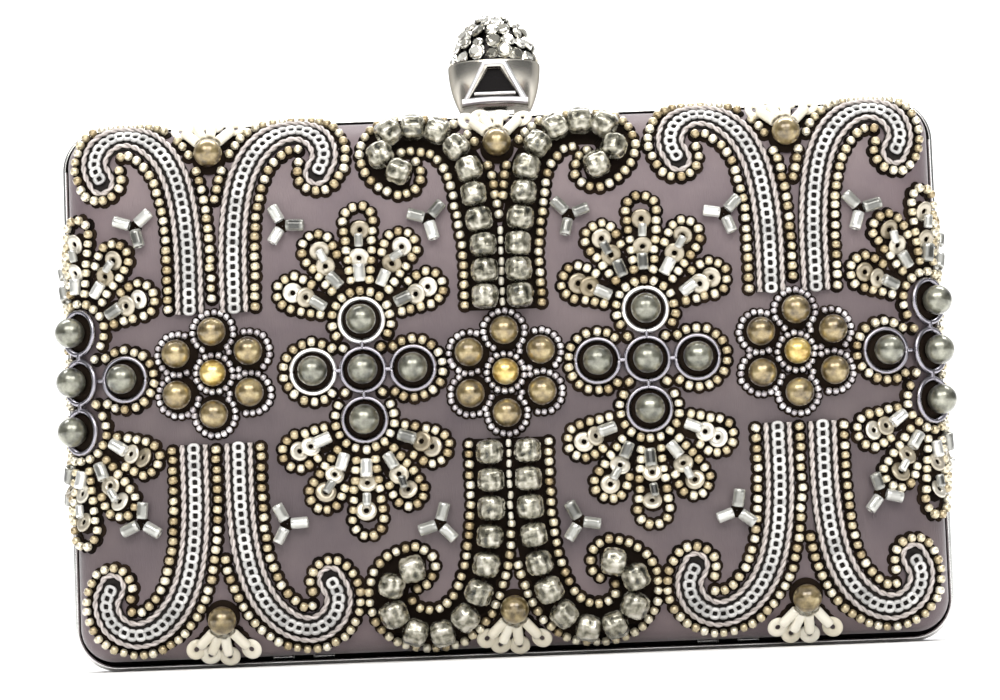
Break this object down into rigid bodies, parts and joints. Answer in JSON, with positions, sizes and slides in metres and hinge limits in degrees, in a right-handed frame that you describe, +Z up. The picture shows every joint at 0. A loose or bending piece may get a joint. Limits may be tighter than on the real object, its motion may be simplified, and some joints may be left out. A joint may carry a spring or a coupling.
{
  "type": "beaded box clutch",
  "caption": "Rectangular box clutch: padded satin halves in hinged metal frames, pearl flowers and bead scrolls on the front, and a tilting jewelled ball clasp on top.",
  "frame": {"origin": "on the surface it stands on, under the middle of the whole clutch with its beads", "axes": "+X along the long side towards the right end seen from the beaded front, +Y from the beaded front to the plain back, +Z up to the clasp"},
  "size_m": [0.1862, 0.0578, 0.138],
  "materials": {
    "satin": "mauve-taupe duchess satin over a moulded shell",
    "frame_metal": "polished silver-tone metal",
    "hinge_steel": "plain drawn wire",
    "clasp_metal": "polished silver-tone metal",
    "crystal": "foil-backed cut crystal, pave set",
    "bronze_pearl": "bronze pearl lacquer",
    "golden_pearl": "golden pearl lacquer",
    "grey_pearl": "grey-olive pearl lacquer in a wire ring",
    "braid": "silver metallic braid",
    "champagne_bead": "antique silver-champagne metallised bead"
  },
  "bodies": {
    "back": {"back_shell": "satin", "back_frame": "frame_metal", "hinge_pin_left": "hinge_steel", "hinge_pin_right": "hinge_steel"},
    "front": {"front_shell": "satin", "front_frame": "frame_metal", "flower_left_heart": "golden_pearl", "flower_left_petal_1": "bronze_pearl", "flower_left_petal_2": "bronze_pearl", "flower_left_petal_3": "bronze_pearl", "flower_left_petal_4": "bronze_pearl", "flower_left_petal_5": "bronze_pearl", "flower_left_petal_6": "bronze_pearl", "flower_middle_heart": "golden_pearl", "flower_middle_petal_1": "bronze_pearl", "flower_middle_petal_2": "bronze_pearl", "flower_middle_petal_3": "bronze_pearl", "flower_middle_petal_4": "bronze_pearl", "flower_middle_petal_5": "bronze_pearl", "flower_middle_petal_6": "bronze_pearl", "flower_right_heart": "golden_pearl", "flower_right_petal_1": "bronze_pearl", "flower_right_petal_2": "bronze_pearl", "flower_right_petal_3": "bronze_pearl", "flower_right_petal_4": "bronze_pearl", "flower_right_petal_5": "bronze_pearl", "flower_right_petal_6": "bronze_pearl", "pearl_left_top": "bronze_pearl", "pearl_left_bottom": "bronze_pearl", "pearl_middle_top": "bronze_pearl", "pearl_middle_bottom": "bronze_pearl", "pearl_right_top": "bronze_pearl", "pearl_right_bottom": "bronze_pearl", "palmette_left_centre": "grey_pearl", "palmette_left_left": "grey_pearl", "palmette_left_right": "grey_pearl", "palmette_left_top": "grey_pearl", "palmette_left_bottom": "grey_pearl", "palmette_right_centre": "grey_pearl", "palmette_right_left": "grey_pearl", "palmette_right_right": "grey_pearl", "palmette_right_top": "grey_pearl", "palmette_right_bottom": "grey_pearl", "edge_pearls_left": "grey_pearl", "edge_pearls_right": "grey_pearl", "braid_left_upper_left": "braid", "braid_left_upper_right": "braid", "braid_left_lower_left": "braid", "braid_left_lower_right": "braid", "braid_right_upper_left": "braid", "braid_right_upper_right": "braid", "braid_right_lower_left": "braid", "braid_right_lower_right": "braid", "beads_upper_left": "champagne_bead", "beads_upper_right": "champagne_bead", "beads_lower_left": "champagne_bead", "beads_lower_right": "champagne_bead"},
    "clasp": {"clasp_ball": "clasp_metal", "clasp_stones": "crystal"}
  },
  "joints": [
    {"name": "front_opens", "type": "hinge", "parent": "back", "child": "front", "pos_m": [0, 0.00333, 0.0016], "axis": [1, 0, 0], "range_deg": [0, 75]},
    {"name": "clasp_tilts", "type": "hinge", "parent": "back", "child": "clasp", "pos_m": [0, 0.00654, 0.1167], "axis": [-1, 0, 0], "range_deg": [0, 18], "stiffness_Nm_per_rad": 0.03}
  ]
}
